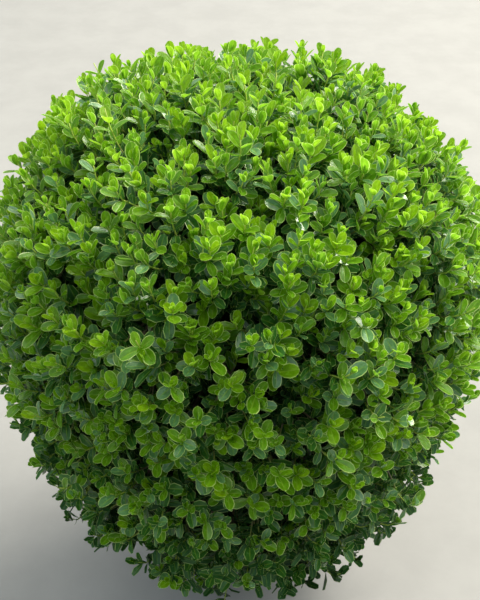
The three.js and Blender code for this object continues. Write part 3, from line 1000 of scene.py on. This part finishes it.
def side_bough_mesh(n, bark, rng, rings=40, sides=28):
    """A side bough: it arches from inside the trunk's shoulder to its tip inside the ball.

    It rises evenly, and at a share s of its rise it is out by spread (1 - (1 - s)^2).
    """
    tip_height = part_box(BOUGHS[n])[1].z - BOUGH_SINK
    azimuth = 2 * math.pi * (n + FIRST_BOUGH) / len(BOUGHS)
    s = np.linspace(0, 1, rings)
    out = bark.bough_spread * (1 - (1 - s) ** 2)
    lean = lean_at(bark.bough_start, bark)
    height = bark.bough_start + (tip_height - bark.bough_start) * s
    path = np.stack([lean + out * np.cos(azimuth), out * np.sin(azimuth), height], axis=-1)[None]
    radius = bark.bough_radius + (bark.bough_tip_radius - bark.bough_radius) * s
    relief = furrows(path, sides, bark.relief * 0.5, rng)
    return tubes(path, radius, sides, relief)


def limb_tubes(limbs, sizes):
    """Tubes of some limbs as one mesh.

    sizes holds, for each kind of limb, its name, its rings and sides, and its radius at the root
    and at the tip.
    """
    return joined(
        [
            tubes(arc_paths(limbs[name], rings), np.linspace(thick, thin, rings), sides)
            for name, rings, sides, thick, thin in sizes
        ]
    )


class TOPIARY_OT_twigs(TopiaryOperator, bpy.types.Operator):
    """Makes the leader, the inner boughs and the branches"""

    bl_idname = "topiary.twigs"
    bl_label = "Boughs and Branches"

    def execute(self, context):
        scene = context.scene
        wood, bark = scene.topiary_wood, scene.topiary_bark
        limbs = grow_wood(scene.topiary_ball, wood)
        sizes = [
            ("leader", 16, 10, bark.tip_radius * LEADER_FIT, wood.inner_radius),
            ("inner", 12, 6, wood.inner_radius, wood.branch_radius),
            ("branch", 8, 5, wood.branch_radius, wood.shoot_radius),
        ]
        mesh = limb_tubes(limbs, sizes)
        piece = mesh_piece("boughs_and_branches", *mesh, ["BarkUV", "OFBake"])
        darkening = 0.45
        furrow = [darkening * value for value in bark.twig_colour]
        material = bark_material(
            "twig_bark",
            bark.twig_colour,
            furrow,
            scale=9,
            stretch=0.25,
            bump_distance=0.0004,
            on_uv=True,
        )
        finished(piece, material, "bark", "foliage_ball")
        return {"FINISHED"}


class TOPIARY_OT_shoots(TopiaryOperator, bpy.types.Operator):
    """Makes the green stems that carry the leaves"""

    bl_idname = "topiary.shoots"
    bl_label = "Leafy Shoots"

    def execute(self, context):
        scene = context.scene
        wood = scene.topiary_wood
        limbs = grow_wood(scene.topiary_ball, wood)
        radii = (wood.shoot_radius, wood.shoot_tip_radius)
        sizes = [("shoot", 5, 3, *radii), ("shade", 4, 3, *radii), ("heart", 4, 3, *radii)]
        piece = mesh_piece("shoot_stems", *limb_tubes(limbs, sizes), ["BarkUV", "OFBake"])
        material = stem_material("green_stem", scene.topiary_bark)
        finished(piece, material, "leaf", "foliage_ball")
        return {"FINISHED"}


class TOPIARY_OT_leaves(TopiaryOperator, bpy.types.Operator):
    """Makes the leaves, one piece for each tone"""

    bl_idname = "topiary.leaves"
    bl_label = "Leaves"

    def execute(self, context):
        scene = context.scene
        ball, wood, leaf = scene.topiary_ball, scene.topiary_wood, scene.topiary_leaf
        limbs = grow_wood(ball, wood)
        rng = np.random.default_rng(ball.seed + 1)
        storeys = (
            ("shoot", leaf.pairs, 1, 0),
            ("shade", leaf.shade_pairs, leaf.shade_growth, SHADE_STEPS),
            ("heart", leaf.heart_pairs, leaf.heart_growth, HEART_STEPS),
        )
        grown = [
            grow_leaves(ball, leaf, limbs[storey], pairs, growth, steps, rng)
            for storey, pairs, growth, steps in storeys
        ]
        *leaves, tone = [np.concatenate(values) for values in zip(*grown)]
        for number, (name, (stations, *finish)) in enumerate(FINISHES.items()):
            chosen = [value[tone == number] for value in leaves]
            blades = leaf_mesh(chosen, leaf.cup, stations)
            piece = mesh_piece("leaves_" + name, *blades, ["LeafUV", "OFBake"])
            finished(piece, leaf_material(name, leaf, *finish), "leaf", "foliage_ball")
        return {"FINISHED"}


class TOPIARY_OT_stage(TopiaryOperator, bpy.types.Operator):
    """Makes the floor, the lights and the camera"""

    bl_idname = "topiary.stage"
    bl_label = "Stage"

    def execute(self, context):
        scene = context.scene
        stage = scene.topiary_stage
        make_floor(stage)
        make_light("key_light", stage.key, *KEY_LIGHT)
        make_light("fill_light", stage.fill, *FILL_LIGHT)
        make_sky(scene, stage)
        scene.view_settings.view_transform = "Standard"
        make_camera(scene, stage)
        return {"FINISHED"}


def make_floor(stage):
    """A wide level floor with the faint mottle of pale concrete."""
    corners = np.array([[-1.0, -1, 0], [1, -1, 0], [1, 1, 0], [-1, 1, 0]])
    points, uv = corners * FLOOR_HALF, corners[:, :2]
    faces = np.array([[0, 1, 2], [0, 2, 3]])
    floor = mesh_piece("floor", points, faces, uv, ["FloorUV"], smooth=False)
    material, tree, output = new_material("pale_floor")
    place = wire(tree, "TexCoord").outputs["Object"]
    noise = wire(tree, "TexNoise", Vector=place, Scale=9.0, Detail=8.0, Roughness=0.65)
    darkest, palest = 0.95, 1.04
    shade = fade(tree, noise.outputs["Fac"], *NOISE_RANGE, darkest, palest)
    base = wire(tree, "HueSaturation", Color=(*stage.floor, 1), Value=shade).outputs[0]
    shader = wire(tree, "BsdfPrincipled", Base_Color=base, Roughness=0.9)
    connect(tree, output, Surface=shader.outputs[0])
    floor.data.materials.append(material)


def make_light(name, power, place, edge, tint):
    """A square area light at place, turned to the ball."""
    light = bpy.data.lights.new(name, "AREA")
    light.energy = power
    light.size = edge
    light.color = tint
    holder = bpy.data.objects.new(name, light)
    holder.location = place
    holder.rotation_euler = (LIT_PLACE - place).to_track_quat("-Z", "Y").to_euler()
    bpy.context.scene.collection.objects.link(holder)


def make_sky(scene, stage):
    """Soft light from all round, which grows towards the open side of the sky.

    The camera itself sees an even backdrop in its place.
    """
    world = bpy.data.worlds.new("soft_sky")
    world.use_nodes = True
    tree = world.node_tree
    place = wire(tree, "TexCoord").outputs["Generated"]
    open_side = tuple(Vector(stage.open_side).normalized())
    towards = wire(tree, "VectorMath", {"operation": "DOT_PRODUCT"}, i0=place, i1=open_side)
    edge, centre = 0.1, 1.0
    openness = fade(tree, towards.outputs["Value"], edge, centre)
    strength = math_node(tree, "MULTIPLY_ADD", openness, stage.sky - stage.horizon, stage.horizon)
    light = tree.nodes["Background"]
    tint = mixed(tree, openness, (*stage.horizon_tint, 1), (*stage.sky_tint, 1))
    connect(tree, light, Color=tint, Strength=strength)
    backdrop = wire(tree, "Background", Color=(*stage.backdrop, 1)).outputs[0]
    seen = wire(tree, "LightPath").outputs["Is Camera Ray"]
    surface = wire(tree, "MixShader", i0=seen, i1=light.outputs[0], i2=backdrop).outputs[0]
    connect(tree, tree.nodes["World Output"], Surface=surface)
    scene.world = world


def make_camera(scene, stage):
    """A camera at its elevation and distance that aims just below the middle of the waist."""
    rise = Vector((0, math.sin(stage.elevation), math.cos(stage.elevation)))
    aim = Vector(heart_of(scene.topiary_ball)) - rise * stage.aim_drop + AIM_SHIFT
    away = Vector((0, -math.cos(stage.elevation), math.sin(stage.elevation)))
    data = bpy.data.cameras.new("camera")
    data.lens = stage.focal_length
    camera = bpy.data.objects.new("camera", data)
    camera.location = aim + away * stage.distance
    camera.rotation_euler = (-away).to_track_quat("-Z", "Y").to_euler()
    scene.collection.objects.link(camera)
    scene.camera = camera


class TOPIARY_PT_panel(bpy.types.Panel):
    """Sidebar panel with the operators and the values that they read"""

    bl_label = "Box Topiary Ball"
    bl_space_type = "VIEW_3D"
    bl_region_type = "UI"
    bl_category = "Topiary"

    def draw(self, context):
        for operator in OPERATORS:
            self.layout.operator(operator.bl_idname)
        for name, group in GROUPS.items():
            box = self.layout.box()
            box.label(text=group.__doc__)
            for field in group.__annotations__:
                box.prop(getattr(context.scene, name), field)


GROUPS = {
    "topiary_ball": BallSettings,
    "topiary_wood": WoodSettings,
    "topiary_bark": BarkSettings,
    "topiary_leaf": LeafSettings,
    "topiary_stage": StageSettings,
}
OPERATORS = (
    TOPIARY_OT_stage,
    TOPIARY_OT_bark,
    TOPIARY_OT_twigs,
    TOPIARY_OT_shoots,
    TOPIARY_OT_leaves,
)


def register():
    """Registers the classes and hangs the settings on the scene."""
    for cls in (*GROUPS.values(), *OPERATORS, TOPIARY_PT_panel):
        bpy.utils.register_class(cls)
    for name, group in GROUPS.items():
        setattr(bpy.types.Scene, name, PointerProperty(type=group))


def unregister():
    """Takes the settings off the scene and unregisters the classes."""
    for name in GROUPS:
        delattr(bpy.types.Scene, name)
    for cls in (TOPIARY_PT_panel, *reversed(OPERATORS), *reversed(GROUPS.values())):
        bpy.utils.unregister_class(cls)


def main():
    register()
    bpy.ops.topiary.stage()
    bpy.ops.topiary.bark()
    bpy.ops.topiary.twigs()
    bpy.ops.topiary.shoots()
    bpy.ops.topiary.leaves()


if __name__ == "__main__":
    main()
